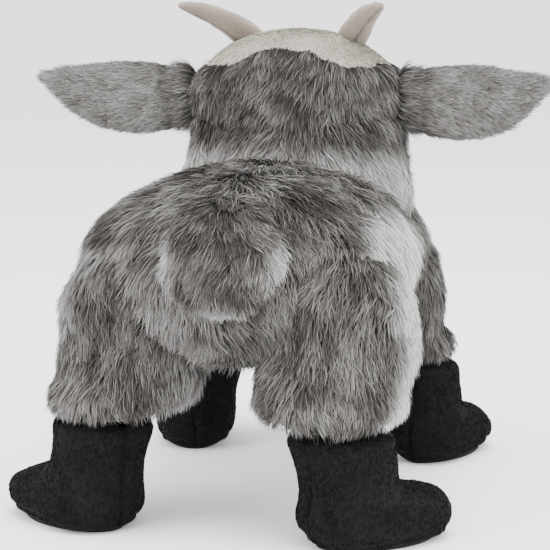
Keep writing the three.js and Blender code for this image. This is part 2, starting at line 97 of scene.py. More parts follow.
def catmull(points, t, knots=None):
    """Points on a smooth curve through points at shares t of its knots."""
    p = np.asarray(points, float)
    k = np.arange(len(p), dtype=float) if knots is None else np.asarray(knots, float)
    k = (k - k[0]) / (k[-1] - k[0])
    t = np.atleast_1d(t)
    i = np.clip(np.searchsorted(k, t, side="right") - 1, 0, len(p) - 2)
    h = (k[i + 1] - k[i])[:, None]
    u = ((t - k[i]) / (k[i + 1] - k[i]))[:, None]
    slope = np.gradient(p, k, axis=0)
    a, b = p[i], p[i + 1]
    ma, mb = slope[i] * h, slope[i + 1] * h
    return (
        a * (2 * u**3 - 3 * u**2 + 1)
        + ma * (u**3 - 2 * u**2 + u)
        + b * (-2 * u**3 + 3 * u**2)
        + mb * (u**3 - u**2)
    )


def skin_faces(rows, around, start, first, last):
    """Faces of a closed skin: quads between its rows of around vertices, from vertex start, and a fan
    at each end to the vertices first and last."""
    faces = []
    for r in range(rows - 1):
        near, far = start + r * around, start + (r + 1) * around
        for c in range(around):
            d = (c + 1) % around
            faces.append((near + c, near + d, far + d, far + c))
    end = start + (rows - 1) * around
    for c in range(around):
        d = (c + 1) % around
        faces.append((first, start + d, start + c))
        faces.append((last, end + c, end + d))
    return faces


def form(stations, side=(1, 0, 0), around=56, rings=48, inset=0.0, level=False):
    """A stuffed form through stations of middle x, y, z and half sizes along and across side.
    Returns its vertices and faces, with a pole at each end."""
    s = np.asarray(stations, float)
    t = (1 - np.cos(np.linspace(0, math.pi, rings + 1))) / 2
    run = np.concatenate([[0], np.cumsum(np.sqrt(np.linalg.norm(np.diff(s[:, :3], axis=0), axis=1) + 1e-6))])
    middle = catmull(s[:, :3], t, run)
    size = np.maximum(catmull(s[:, 3:], t, run) - inset, 0.0)
    # A rounded end between the first and second station, and between the last two
    k = (run - run[0]) / (run[-1] - run[0])
    for end, (low, high) in (("first", (k[0], k[1])), ("last", (k[-2], k[-1]))):
        near = (t >= low) & (t <= high)
        share = (t[near] - low) / (high - low)
        share = share if end == "first" else 1 - share
        edge = catmull(s[:, 3:], [k[1] if end == "first" else k[-2]], run) - inset
        size[near] = np.maximum(edge * np.sqrt(np.clip(1 - (1 - share[:, None]) ** 2, 0, 1)), 0)
    along = np.gradient(middle, axis=0)
    if level:
        along[:] = (0, 0, -1)
    along /= np.linalg.norm(along, axis=1)[:, None] + 1e-12
    a = np.asarray(side, float)
    u = a - along * (along @ a)[:, None]
    u /= np.linalg.norm(u, axis=1)[:, None]
    v = np.cross(along, u)
    angle = np.linspace(0, 2 * math.pi, around, endpoint=False)
    ring = (
        middle[1:-1, None]
        + u[1:-1, None] * (np.cos(angle)[:, None] * size[1:-1, None, 0:1])
        + v[1:-1, None] * (np.sin(angle)[:, None] * size[1:-1, None, 1:2])
    )
    poles = middle[:1] + along[:1] * inset, middle[-1:] - along[-1:] * inset
    verts = np.concatenate([poles[0], ring.reshape(-1, 3), poles[1]])
    return verts, skin_faces(rings - 1, around, 1, 0, len(verts) - 1)


def new_object(name, data):
    made = bpy.data.objects.new(name, data)
    bpy.context.scene.collection.objects.link(made)
    return made


def mesh_object(name, verts, faces):
    """A mesh object from millimetre vertices, with its faces turned outwards."""
    mesh = bpy.data.meshes.new(name)
    mesh.from_pydata((np.asarray(verts) * MM).tolist(), [], faces)
    mesh.update()
    made = new_object(name, mesh)
    co, tri = points_of(made), triangles_of(made)
    volume = np.einsum("ij,ij->i", co[tri[:, 0]], np.cross(co[tri[:, 1]], co[tri[:, 2]])).sum()
    if volume < 0:
        mesh.flip_normals()
    mesh.polygons.foreach_set("use_smooth", [True] * len(mesh.polygons))
    return made


def points_of(obj):
    co = np.empty(len(obj.data.vertices) * 3)
    obj.data.vertices.foreach_get("co", co)
    return co.reshape(-1, 3) / MM


def normals_of(obj):
    normal = np.empty(len(obj.data.vertices) * 3)
    obj.data.vertices.foreach_get("normal", normal)
    return normal.reshape(-1, 3)


def triangles_of(obj):
    obj.data.calc_loop_triangles()
    tri = np.empty(len(obj.data.loop_triangles) * 3, int)
    obj.data.loop_triangles.foreach_get("vertices", tri)
    return tri.reshape(-1, 3)


def set_points(obj, co):
    obj.data.vertices.foreach_set("co", (np.asarray(co) * MM).ravel())
    obj.data.update()


def give_attribute(mesh, name, values):
    mesh.attributes.new(name, "FLOAT", "POINT").data.foreach_set("value", values)


def noise(p, scale, seed):
    """Smooth noise from -1 to 1 at points p, about one swell per scale millimetres."""
    r = np.random.default_rng(seed)
    total = np.zeros(len(p))
    for _ in range(5):
        wave = r.normal(size=3)
        wave *= 2 * math.pi / (scale * (0.7 + 0.8 * r.random()) * np.linalg.norm(wave))
        total += np.sin(p @ wave + r.random() * 6.28)
    return np.clip(total / 2.6, -1, 1)


def smoothstep(x, low, high):
    t = np.clip((x - low) / (high - low), 0, 1)
    return t * t * (3 - 2 * t)


def remesh(obj, voxel, rounds, factor=0.5):
    """Welds an object's overlapping forms into one skin and softens the creases between them."""
    m = obj.modifiers.new("weld", "REMESH")
    m.mode = "VOXEL"
    m.voxel_size = voxel * MM
    s = obj.modifiers.new("soften", "SMOOTH")
    s.factor = factor
    s.iterations = rounds
    dg = bpy.context.evaluated_depsgraph_get()
    made = bpy.data.meshes.new_from_object(obj.evaluated_get(dg))
    obj.modifiers.clear()
    obj.data = made
    obj.data.polygons.foreach_set("use_smooth", [True] * len(made.polygons))


def fill_out(obj, cap):
    """Stuffs a soft form: its skin as cloth under pressure, each point moving at most cap millimetres."""
    before = points_of(obj)
    cloth = obj.modifiers.new("stuffed", "CLOTH")
    cloth.settings.use_pressure = True
    cloth.settings.uniform_pressure_force = 4
    cloth.settings.effector_weights.gravity = 0
    cloth.point_cache.frame_start = 1
    cloth.point_cache.frame_end = 20
    for step in range(1, 21):
        bpy.context.scene.frame_set(step)
    swollen = obj.evaluated_get(bpy.context.evaluated_depsgraph_get()).data
    after = np.empty(len(before) * 3)
    swollen.vertices.foreach_get("co", after)
    move = after.reshape(-1, 3) / MM - before
    far = np.linalg.norm(move, axis=1)[:, None]
    obj.modifiers.clear()
    bpy.context.scene.frame_set(1)
    set_points(obj, before + move * np.minimum(1, cap / (far + 1e-9)))


def join(name, parts):
    """One mesh object from several forms' vertices and faces."""
    verts, faces, start = [], [], 0
    for v, f in parts:
        verts.append(v)
        faces += [tuple(i + start for i in face) for face in f]
        start += len(v)
    return mesh_object(name, np.concatenate(verts), faces)


# ---------- materials ----------

GRAIN_DEPTH = 0.0006  # metres


def new_material(name, roughness, sheen=0.0, specular=0.3):
    m = bpy.data.materials.new(name)
    m.use_nodes = True
    b = m.node_tree.nodes["Principled BSDF"]
    b.inputs["Roughness"].default_value = roughness
    b.inputs["Specular IOR Level"].default_value = specular
    b.inputs["Sheen Weight"].default_value = sheen
    b.inputs["Sheen Roughness"].default_value = 0.5
    return m, m.node_tree.nodes, m.node_tree.links, b


def ramp_node(nodes, stops):
    r = nodes.new("ShaderNodeValToRGB")
    e = r.color_ramp.elements
    while len(e) < len(stops):
        e.new(0.5)
    for el, (at, colour) in zip(e, stops):
        el.position = at
        el.color = (*colour, 1)
    return r


def attribute_node(nodes, name):
    made = nodes.new("ShaderNodeAttribute")
    made.attribute_name = name
    return made


def colour_mix(nodes, blend="MIX"):
    made = nodes.new("ShaderNodeMix")
    made.data_type = "RGBA"
    made.blend_type = blend
    return made


def strand_material(name, dark, light, roughness=0.7, specular=0.12):
    """Colour by how far along its strand a point is, and by the strand's own shade."""
    m, nodes, links, b = new_material(name, roughness, specular=specular)
    along = attribute_node(nodes, "along")
    shade = attribute_node(nodes, "shade")
    low = ramp_node(nodes, dark)
    high = ramp_node(nodes, light)
    mix = colour_mix(nodes)
    links.new(along.outputs["Fac"], low.inputs["Fac"])
    links.new(along.outputs["Fac"], high.inputs["Fac"])
    links.new(shade.outputs["Fac"], mix.inputs["Factor"])
    links.new(low.outputs["Color"], mix.inputs["A"])
    links.new(high.outputs["Color"], mix.inputs["B"])
    links.new(mix.outputs["Result"], b.inputs["Base Color"])
    return m


def cloth_material(name, colours, scale, bump, roughness, sheen=0.3, weave=0.0, seam=None):
    """A napped or woven cloth: two sizes of mottling, and a fine raised grain."""
    m, nodes, links, b = new_material(name, roughness, sheen, 0.12)
    where = nodes.new("ShaderNodeTexCoord")
    broad = nodes.new("ShaderNodeTexNoise")
    broad.inputs["Scale"].default_value = scale
    broad.inputs["Detail"].default_value = 5
    fine = nodes.new("ShaderNodeTexNoise")
    fine.inputs["Scale"].default_value = scale * 14
    fine.inputs["Detail"].default_value = 3
    mix = nodes.new("ShaderNodeMath")
    mix.operation = "MULTIPLY_ADD"
    mix.inputs[1].default_value = 0.45
    half = nodes.new("ShaderNodeMath")
    half.operation = "MULTIPLY"
    half.inputs[1].default_value = 0.55
    ramp = ramp_node(nodes, colours)
    links.new(where.outputs["Object"], broad.inputs["Vector"])
    links.new(where.outputs["Object"], fine.inputs["Vector"])
    links.new(broad.outputs["Fac"], half.inputs[0])
    links.new(fine.outputs["Fac"], mix.inputs[0])
    links.new(half.outputs[0], mix.inputs[2])
    links.new(mix.outputs[0], ramp.inputs["Fac"])
    links.new(ramp.outputs["Color"], b.inputs["Base Color"])
    if seam:
        sewn = attribute_node(nodes, "seam")
        darker = colour_mix(nodes)
        darker.inputs["B"].default_value = (*seam, 1)
        links.new(sewn.outputs["Fac"], darker.inputs["Factor"])
        links.new(ramp.outputs["Color"], darker.inputs["A"])
        links.new(darker.outputs["Result"], b.inputs["Base Color"])
    raised = nodes.new("ShaderNodeBump")
    raised.inputs["Strength"].default_value = bump
    raised.inputs["Distance"].default_value = GRAIN_DEPTH
    source = fine.outputs["Fac"]
    if weave:
        wave = nodes.new("ShaderNodeTexWave")
        wave.inputs["Scale"].default_value = weave
        wave.inputs["Distortion"].default_value = 1.5
        wave.inputs["Detail"].default_value = 2
        links.new(where.outputs["Object"], wave.inputs["Vector"])
        both = nodes.new("ShaderNodeMath")
        both.operation = "MULTIPLY"
        links.new(wave.outputs["Fac"], both.inputs[0])
        links.new(fine.outputs["Fac"], both.inputs[1])
        source = both.outputs[0]
    links.new(source, raised.inputs["Height"])
    links.new(raised.outputs["Normal"], b.inputs["Normal"])
    return m


def grey(v, warm=0.0):
    """A grey of value v, leaning to red and away from blue by the share warm."""
    return (v * (1 + warm), v, v * (1 - warm))


FUR = strand_material(
    "grey_pile",
    [
        (0.0, grey(0.008, 0.10)), (0.35, grey(0.016, 0.10)),
        (0.75, grey(0.032, 0.09)), (1.0, grey(0.055, 0.08)),
    ],
    [(0.0, grey(0.15, 0.04)), (0.35, grey(0.30, 0.04)), (0.75, grey(0.53, 0.03)), (1.0, grey(0.72, 0.02))],
)
CREAM = strand_material(
    "cream_pile",
    [(0.0, (0.24, 0.215, 0.165)), (0.5, (0.32, 0.295, 0.24)), (1.0, (0.38, 0.355, 0.30))],
    [(0.0, (0.36, 0.335, 0.275)), (0.5, (0.46, 0.435, 0.375)), (1.0, (0.54, 0.515, 0.455))],
)
BLACK_FUZZ = strand_material(
    "black_pile",
    [(0.0, grey(0.0025)), (1.0, grey(0.0045))],
    [(0.0, grey(0.0045)), (1.0, grey(0.010))],
    roughness=0.85,
    specular=0.05,
)
PINK_FUZZ = strand_material(
    "ear_pile",
    [(0.0, (0.15, 0.105, 0.08)), (1.0, (0.21, 0.155, 0.125))],
    [(0.0, (0.21, 0.155, 0.125)), (1.0, (0.32, 0.255, 0.215))],
)
UNDER_GREY = cloth_material(
    "grey_backing", [(0.2, grey(0.010, 0.08)), (0.8, grey(0.035, 0.08))], 55, 0.6, 0.95, 0.1)
UNDER_CREAM = cloth_material(
    "cream_backing", [(0.2, (0.30, 0.275, 0.22)), (0.8, (0.44, 0.415, 0.355))], 70, 0.6, 0.95)
UNDER_PINK = cloth_material(
    "ear_backing", [(0.2, (0.14, 0.10, 0.08)), (0.8, (0.22, 0.17, 0.14))], 70, 0.6, 0.95)
BLACK_CLOTH = cloth_material("black_plush", [(0.25, grey(0.003)), (0.75, grey(0.008))], 60, 0.7, 0.9, 0.0)
SOLE_CLOTH = cloth_material(
    "sole_cloth", [(0.25, grey(0.004)), (0.75, grey(0.011))], 90, 0.5, 0.85, 0.05, 900)
SUEDE = cloth_material(
    "beige_suede", [(0.2, (0.155, 0.125, 0.10)), (0.8, (0.26, 0.218, 0.182))], 45, 0.35, 0.9, 0.2,
    seam=(0.05, 0.036, 0.027))
DARK_THREAD = cloth_material(
    "dark_thread", [(0.2, grey(0.004)), (0.8, grey(0.014))], 300, 0.4, 0.7, 0.1, 1500)
FELT = cloth_material(
    "nose_felt", [(0.2, (0.013, 0.010, 0.009)), (0.8, (0.034, 0.027, 0.025))], 120, 0.5, 0.8, 0.15)
WADDING = cloth_material(
    "white_wadding", [(0.2, (0.50, 0.49, 0.46)), (0.8, (0.66, 0.65, 0.62))], 60, 0.8, 1.0, 0.2)
WIRE = cloth_material("plain_wire", [(0.2, grey(0.16)), (0.8, grey(0.28))], 200, 0.15, 0.35, 0.0)
WASHER = cloth_material("moulded_washer", [(0.2, grey(0.45)), (0.8, grey(0.56))], 150, 0.1, 0.45, 0.0)


def eye_material():
    """An amber goat's eye: a level dark slot of a pupil on streaked amber, under a clear gloss."""
    m, nodes, links, b = new_material("amber_eye", 0.22, 0.0, 0.25)
    b.inputs["Coat Weight"].default_value = 0.3
    b.inputs["Coat Roughness"].default_value = 0.08
    radial = attribute_node(nodes, "radial")
    pupil = attribute_node(nodes, "pupil")
    where = nodes.new("ShaderNodeTexCoord")
    streak = nodes.new("ShaderNodeTexNoise")
    streak.inputs["Scale"].default_value = 900
    links.new(where.outputs["Object"], streak.inputs["Vector"])
    iris = ramp_node(nodes, [
        (0.0, (0.30, 0.15, 0.025)), (0.55, (0.20, 0.085, 0.014)),
        (0.85, (0.03, 0.012, 0.005)), (1.0, (0.005, 0.003, 0.002)),
    ])
    links.new(radial.outputs["Fac"], iris.inputs["Fac"])
    vary = colour_mix(nodes, "MULTIPLY")
    vary.inputs["Factor"].default_value = 0.45
    links.new(iris.outputs["Color"], vary.inputs["A"])
    links.new(streak.outputs["Fac"], vary.inputs["B"])
    dark = colour_mix(nodes)
    dark.inputs["B"].default_value = (0.004, 0.003, 0.003, 1)
    links.new(pupil.outputs["Fac"], dark.inputs["Factor"])
    links.new(vary.outputs["Result"], dark.inputs["A"])
    links.new(dark.outputs["Result"], b.inputs["Base Color"])
    return m


EYE = eye_material()


# ---------- strands ----------

STRAND_SHARES = np.array([0, 0, 0.34, 0.34, 0.67, 0.67, 1.0])  # how far along each of its 7 vertices is
STRAND_CORNERS = np.array([0, 1, 3, 2, 2, 3, 5, 4, 4, 5, 6])  # of its two quads and its tip
STRAND_WIDTHS = np.array([0.5, 0.46, 0.32])  # shares of the width on each side, from the root up


def strands(name, base, material, count, length, groom, shade, lift=35.0, width=0.56, clump=6.5,
            gather=0.42, keep=None, swirl=0.55, droop=0.25, avoid=(), jitter=0.27):
    """Pile on a base mesh: count flat tapered strands that lie along groom(points, normals).
    length and shade take the root points and normals; keep says which roots stay. Lengths, widths and
    clump, the spacing of the tufts, are in millimetres, and lift is in degrees off the surface."""
    co, tri = points_of(base), triangles_of(base)
    a, b, c = co[tri[:, 0]], co[tri[:, 1]], co[tri[:, 2]]
    face_normal = np.cross(b - a, c - a)
    area = np.linalg.norm(face_normal, axis=1)
    vertex_normal = np.zeros_like(co)
    for k in range(3):
        np.add.at(vertex_normal, tri[:, k], face_normal)
    vertex_normal /= np.linalg.norm(vertex_normal, axis=1)[:, None] + 1e-12
    pick = rng.choice(len(tri), count, p=area / area.sum())
    r1, r2 = np.sqrt(rng.random(count)), rng.random(count)
    bary = np.stack([1 - r1, r1 * (1 - r2), r1 * r2], 1)
    roots = sum(co[tri[pick, k]] * bary[:, k : k + 1] for k in range(3))
    normals = sum(vertex_normal[tri[pick, k]] * bary[:, k : k + 1] for k in range(3))
    normals /= np.linalg.norm(normals, axis=1)[:, None] + 1e-12
    stays = np.ones(count, bool) if keep is None else keep(roots, normals)
    for other, depth in avoid:
        tree = trees[other]
        for i in np.flatnonzero(stays):
            place, n, _, _ = tree.find_nearest(roots[i])
            if (Vector(roots[i]) - place).dot(n) < -depth:
                stays[i] = False
    roots, normals = roots[stays], normals[stays]
    n = len(roots)
    flow = groom(roots, normals)
    flow -= normals * (flow * normals).sum(1)[:, None]
    flow /= np.linalg.norm(flow, axis=1)[:, None] + 1e-9
    turn = swirl * (noise(roots, 46, 3) * 0.8 + noise(roots, 19, 4) * 0.5) + rng.normal(0, jitter, n)
    cross = np.cross(normals, flow)
    flow = flow * np.cos(turn)[:, None] + cross * np.sin(turn)[:, None]
    reach = length(roots, normals) if callable(length) else np.full(n, float(length))
    reach = reach * (0.72 + 0.42 * rng.random(n))
    rise = np.radians(lift) * (0.75 + 0.5 * rng.random(n) + 0.25 * noise(roots, 25, 9))
    points = [roots - normals * 0.4]
    bend = rng.normal(0, 0.22, n)
    cross = np.cross(normals, flow)
    for step, share in enumerate((0.34, 0.33, 0.33)):
        up = rise * (1.0, 0.5, 0.15)[step]
        d = flow * np.cos(up)[:, None] + normals * np.sin(up)[:, None]
        d += cross * (bend * (0.0, 0.5, 1.0)[step])[:, None]
        d[:, 2] -= droop * (0.2, 0.6, 1.0)[step]
        d += rng.normal(0, 0.05 + 0.04 * step, (n, 3))
        d /= np.linalg.norm(d, axis=1)[:, None]
        points.append(points[-1] + d * (reach * share)[:, None])
    points = np.stack(points, 1)
    # tufts: each strand leans to the nearest of a few leaders, and shares its tone
    leaders = rng.choice(n, max(4, int(area.sum() / 2 / clump**2)), replace=True)
    tree = kdtree.KDTree(len(leaders))
    for k, i in enumerate(leaders):
        tree.insert(roots[i], k)
    tree.balance()
    member = np.array([tree.find(p)[1] for p in roots])
    lead = leaders[member]
    pull = gather * (0.6 + 0.6 * rng.random(n))
    for k, share in ((1, 0.12), (2, 0.5), (3, 1.0)):
        points[:, k] += (points[lead, k] - points[:, k]) * (pull * share)[:, None]
    tone = shade(roots, normals) + rng.normal(0, 0.12, n) + 0.28 * (rng.random(n) < 0.07)
    tone += rng.normal(0, 0.06, len(leaders))[member]
    tone = np.clip(np.interp(tone, [0, 0.8, 1.3], [0, 0.5, 1.0]) if material is FUR else tone, 0, 1)
    tangent = np.diff(points, axis=1)
    tangent = np.concatenate([tangent, tangent[:, -1:]], 1)
    facing = normals[:, None] + 0.55 * rng.normal(0, 1, (n, 1, 3))
    side = np.cross(tangent, facing)
    side /= np.linalg.norm(side, axis=2)[:, :, None] + 1e-9
    half = STRAND_WIDTHS[None, :, None] * width * (0.7 + 0.6 * rng.random((n, 1, 1)))
    left = points[:, :3] - side[:, :3] * half
    right = points[:, :3] + side[:, :3] * half
    pairs = [q[:, k] for k in range(3) for q in (left, right)]
    verts = np.stack([*pairs, points[:, 3]], 1)
    size, corners = len(STRAND_SHARES), len(STRAND_CORNERS)
    loops = (np.arange(n)[:, None] * size + STRAND_CORNERS).ravel()
    first = (np.arange(n)[:, None] * corners + np.array([0, 4, 8])).ravel()
    mesh = bpy.data.meshes.new(name)
    mesh.vertices.add(n * size)
    mesh.vertices.foreach_set("co", (verts * MM).ravel())
    mesh.loops.add(n * corners)
    mesh.loops.foreach_set("vertex_index", loops)
    mesh.polygons.add(n * 3)
    mesh.polygons.foreach_set("loop_start", first)
    mesh.polygons.foreach_set("loop_total", np.tile([4, 4, 3], n))
    mesh.update(calc_edges=True)
    mesh.polygons.foreach_set("use_smooth", [True] * (n * 3))
    give_attribute(mesh, "along", np.tile(STRAND_SHARES, n))
    give_attribute(mesh, "shade", np.repeat(tone, size))
    # every strand lies on the same small chart of shade against length
    chart = mesh.uv_layers.new(name="OFBake")
    sway = np.array([-1, 1, -1, 1, -1, 1, 0]) * 0.012
    u = 0.03 + 0.94 * np.repeat(tone, size) + np.tile(sway, n)
    uv = np.stack([u, 0.03 + 0.94 * np.tile(STRAND_SHARES, n)], 1)
    chart.data.foreach_set("uv", uv[loops].ravel())
    mesh.materials.append(material)
    return new_object(name, mesh)


trees = {}


def remember(key, obj):
    """Keeps a form's surface, in millimetres, so that strands don't grow inside it."""
    faces = [tuple(p.vertices) for p in obj.data.polygons]
    trees[key] = BVHTree.FromPolygons(points_of(obj).tolist(), faces)


# ---------- body ----------

def barrel_stations():
    """From the rump to the chest, with its back sloping down to the shoulders."""
    rows = [
        (0.0, 0, 0), (0.045, 0.55, 0.56), (0.13, 0.86, 0.88), (0.27, 1, 1), (0.45, 0.94, 0.99),
        (0.62, 0, 0.96), (0.8, 0, 0.92), (0.94, 0, 0.76), (1.0, 0, 0),
    ]
    chest = (0, 0, 0, 0, 0, 1.12, 1.04, 0.82, 0)
    made = []
    for (along, wide, high), c in zip(rows, chest):
        slope = max(0.0, along - 0.45) * 26
        half_width = wide * RUMP_HALF_WIDTH or c * CHEST_HALF_WIDTH
        half_height = max(high * BODY_HALF - slope * 0.3, 0)
        made.append((0, RUMP_Y - along * BODY_LENGTH, BODY_MID - slope * 0.5, half_width, half_height))
    return made


def neck_stations():
    w, y, z = NECK_HALF_WIDTH, NECK_Y, NECK_CUT
    return [
        (0, y + 16, z - 58, 0, 0), (0, y + 12, z - 48, 0.6 * w, 30), (0, y + 5, z - 20, 0.99 * w, 48),
        (0, y, z, w, 47), (0, y - 2, z + 24, 0.94 * w, 45), (0, y - 4, z + 48, 0.84 * w, 38),
        (0, y - 4, z + 66, 0.4 * w, 20), (0, y - 4, z + 72, 0, 0),
    ]


def thigh_stations(leg):
    side, x, r = leg["side"], leg["x"], leg["r"]
    hy, hz = leg["hip"]
    ax, ay = leg["ankle"]
    big, deep = leg["big"], leg["deep"]
    kx, ky = x + 0.2 * (ax - x), hy + 0.35 * (ay - hy)
    return [
        (side * (x - 6), hy, hz + 0.9 * r, 0, 0), (side * (x - 5), hy, hz + 0.7 * r, 20 * big, 26 * deep),
        (side * (x - 2), hy, hz + 0.22 * r, 38 * big, 42 * deep),
        (side * x, hy, hz - 0.42 * r, 43 * big, 42.6 * deep),
        (side * (kx - 4), ky, 0.5 * (hz + BOOT_TOP) - 2, 43 * big, 41 * deep),
        (side * (ax - 7), ay - 2, BOOT_TOP + 9, 32.5 * big, 33 * deep),
        (side * (ax - 4), ay, BOOT_TOP + 3, 0, 0),
    ]


def skull_stations():
    rows = [
        (0, -3, 0, 0), (0.05, -2, 0.6, 0.62), (0.17, -1, 0.93, 0.92), (0.34, 0, 1, 1), (0.51, 6, 0.82, 0.9),
        (0.66, 16, 0.57, 0.72), (0.81, 25, 0.45, 0.6), (0.94, 31, 0.37, 0.5), (1, 33, 0, 0),
    ]
    return [
        (0, SKULL_BACK_Y - a * HEAD_LENGTH, HEAD_Z - d, w * HEAD_HALF_WIDTH, h * HEAD_HALF_HEIGHT)
        for a, d, w, h in rows
    ]


torso = join("torso_backing", [form(barrel_stations(), inset=COAT), form(neck_stations(), inset=COAT + 6)])
remesh(torso, 5, 8)
fill_out(torso, 2.5)
neck = mesh_object("neck_backing", *form(neck_stations(), inset=0.5))
head = mesh_object("head_backing", *form(skull_stations(), inset=2.0))
legs = {}
for name, leg in LEGS.items():
    legs[name] = mesh_object(f"{name}_leg_backing", *form(thigh_stations(leg), inset=COAT, level=True))
    remember(name, legs[name])
remember("torso", torso)
remember("neck", neck)
remember("head", head)
for obj in (torso, neck, head, *legs.values()):
    obj.data.materials.append(UNDER_GREY)


def crown_line(p):
    """The height above which the crown is pale: an arch that is highest in the middle."""
    return 273 - 11 * smoothstep(np.abs(p[:, 0]), 6, 44) + 1.5 * noise(p, 22, 31)


def is_crown(p):
    brow = SKULL_BACK_Y - 0.62 * HEAD_LENGTH
    return (p[:, 2] > crown_line(p)) & (p[:, 1] > brow)


def muzzle_share(p):
    """0 on the grey of the cheeks, 1 on the pale muzzle and the blaze down the face."""
    front = smoothstep(-p[:, 1], 96, 112)
    blaze = smoothstep(-p[:, 1], 84, 92) * (1 - smoothstep(np.abs(p[:, 0]), 10, 20))
    return np.maximum(front, blaze)


def by_belly(p):
    """Low and near the middle, where the body's cloth gives way to the belly panel."""
    return (p[:, 2] < PANEL_TOP) & (np.abs(p[:, 0]) < PANEL_HALF_WIDTH)


def give_pale_backing(obj, pale):
    """The second material for the faces whose middles pass the test."""
    obj.data.materials.append(UNDER_CREAM)
    middles = np.array([f.center[:] for f in obj.data.polygons]) / MM
    obj.data.polygons.foreach_set("material_index", pale(middles).astype(np.int32))


give_pale_backing(head, lambda p: is_crown(p) | (muzzle_share(p) > 0.4))
give_pale_backing(torso, by_belly)

# ---------- groom ----------


def flow_of(x, y, z):
    """Directions as rows, from three parts that are arrays or plain numbers."""
    return np.stack(np.broadcast_arrays(x, y, z), 1)


def torso_flow(p, n):
    """From the spine out to the sides, then down; down the rump."""
    s = np.clip((p[:, 0] + 4) / 16, -1, 1)
    low = np.clip(np.abs(p[:, 0]) / 62, 0, 1)
    rear = smoothstep(n[:, 1], 0.25, 0.8)
    out = 0.9 * s * (1 - 0.5 * low) * (1 - 0.5 * rear)
    back = 0.38 * (1 - rear) * smoothstep(p[:, 1], -95, -30)
    return flow_of(out, back, -0.12 - 0.95 * low**1.5 - 0.55 * rear)


def leg_flow(p, n):
    return flow_of(0.05 * np.sign(p[:, 0]), 0.1, -1.0)


def neck_flow(p, n):
    s = np.clip(p[:, 0] / 60, -1, 1)
    return flow_of(0.3 * s, 0.35 * smoothstep(-p[:, 2], -215, -185) + 0.05, -1.0)


def head_flow(p, n):
    face = smoothstep(-p[:, 1], 60, 95)
    s = np.clip(p[:, 0] / 50, -1, 1)
    return flow_of(0.35 * s, 0.15 + 0.9 * face, -1 + 0.75 * face)


def crown_flow(p, n):
    return flow_of(0.5 * np.clip(p[:, 0] / 40, -1, 1), 0.9, -0.2)


def tail_flow(p, n):
    return flow_of(0.03 * (p[:, 0] + TAIL_SHIFT), -0.05, -1)


def ear_flow(side):
    return lambda p, n: flow_of(side, 0, (p[:, 2] - 243) * 0.012 - 0.05)


def lining_flow(side):
    return lambda p, n: flow_of(side + 0 * p[:, 0], 0, 0)


def boot_flow(p, n):
    return flow_of(0 * p[:, 0], 0, -1)




# ---------- shade of the grey pile ----------

def torso_shade(p, n):
    tone = 0.23 + 0.13 * noise(p, 60, 11) + 0.13 * noise(p, 20, 12)
    tone -= 0.08 * smoothstep(n[:, 2], 0.4, 0.9)
    # the left of the rump paler; painted highlight across the shoulders, stronger towards the right; and
    # painted highlight as a pale strip along the right flank
    rump = smoothstep(-n[:, 2], -0.8, -0.2) * smoothstep(p[:, 1], 30, 80)
    tone += 0.30 * rump * smoothstep(p[:, 0], -20, 20)
    shoulders = smoothstep(p[:, 2], 176, 188) * smoothstep(-p[:, 1], -22, 5)
    tone += 0.42 * shoulders * (0.5 + 0.5 * smoothstep(-p[:, 0], -10, 50))
    tone += 1.3 * smoothstep(-p[:, 0], 62, 82) * smoothstep(p[:, 1], -45, -5) * smoothstep(p[:, 2], 95, 120)
    return tone


def leg_shade(side, rear):
    def tone(p, n):
        t = 0.15 + 0.12 * noise(p, 40, 13) + 0.13 * noise(p, 16, 14)
        # painted shade: darker where the leg faces down
        t -= 0.05 * smoothstep(-n[:, 2], 0.1, 0.8)
        # painted highlight: a pale strip down the outer edge of the right hind leg
        if side < 0 and rear:
            t += 1.25 * smoothstep(-0.96 * n[:, 0] - 0.27 * n[:, 1], 0.58, 0.82)
        if side > 0:
            t += 0.30 * smoothstep(n[:, 0], 0.1, 0.7) * smoothstep(p[:, 2], 70, 120)
        if side > 0 and rear:
            t += 0.60 * smoothstep(-n[:, 0], 0.6, 0.95) * smoothstep(-p[:, 2], -110, -80)
        return t
    return tone


def neck_shade(p, n):
    """Dark, with a band of painted highlight round the base of the neck that fades towards the front."""
    low = smoothstep(-p[:, 2], -224, -206)
    # painted highlight: strongest where the cloth faces back and to the right
    low *= 0.12 + 0.88 * smoothstep(n[:, 1] - 0.35 * n[:, 0], -0.45, 0.35)
    return 0.11 + 0.10 * noise(p, 40, 15) + 0.11 * noise(p, 13, 16) + 0.90 * low


def head_shade(p, n):
    return 0.11 + 0.10 * noise(p, 34, 17) + 0.11 * noise(p, 13, 18) + 0.10 * smoothstep(-p[:, 1], 50, 90)


def tail_shade(p, n):
    """Dark, with a pale rim that starts some way below the root."""
    rim = 0.80 * smoothstep(np.abs(p[:, 0] + TAIL_SHIFT), 20, 27) + 0.60 * smoothstep(-p[:, 2], -148, -140)
    return 0.06 + 0.14 * noise(p, 20, 41) + smoothstep(-p[:, 2], -182, -168) * rim


def ear_shade(p, n):
    """Darker at the root, paler at the tip."""
    out = np.abs(p[:, 0])
    tone = 0.44 - 0.24 * smoothstep(-out, -96, -72)
    return tone + 0.10 * noise(p, 20, 51) + 0.12 * smoothstep(out, 140, 165)


def plain_shade(level, spread=0.15):
    return lambda p, n: level + spread * noise(p, 18, 21)


# ---------- tail and ears ----------

def tail_stations():
    # how far behind and above the root, half width and half thickness
    rows = [
        (0, 0, 0, 0), (2.5, -1.5, 0.5, 4.6), (15, -12, 0.76, 5.6), (24, -26, 0.97, 6), (28, -42, 1, 5.6),
        (29, -54, 0.78, 4.6), (29, -62, 0.4, 3.2), (29, -66, 0, 0),
    ]
    drop, length = 66, 50
    return [
        (
            -4 + up / drop * 16, TAIL_ROOT[1] + back * 0.94, TAIL_ROOT[2] + 2 + up * (length / drop),
            half * 29, thick,
        )
        for back, up, half, thick in rows
    ]


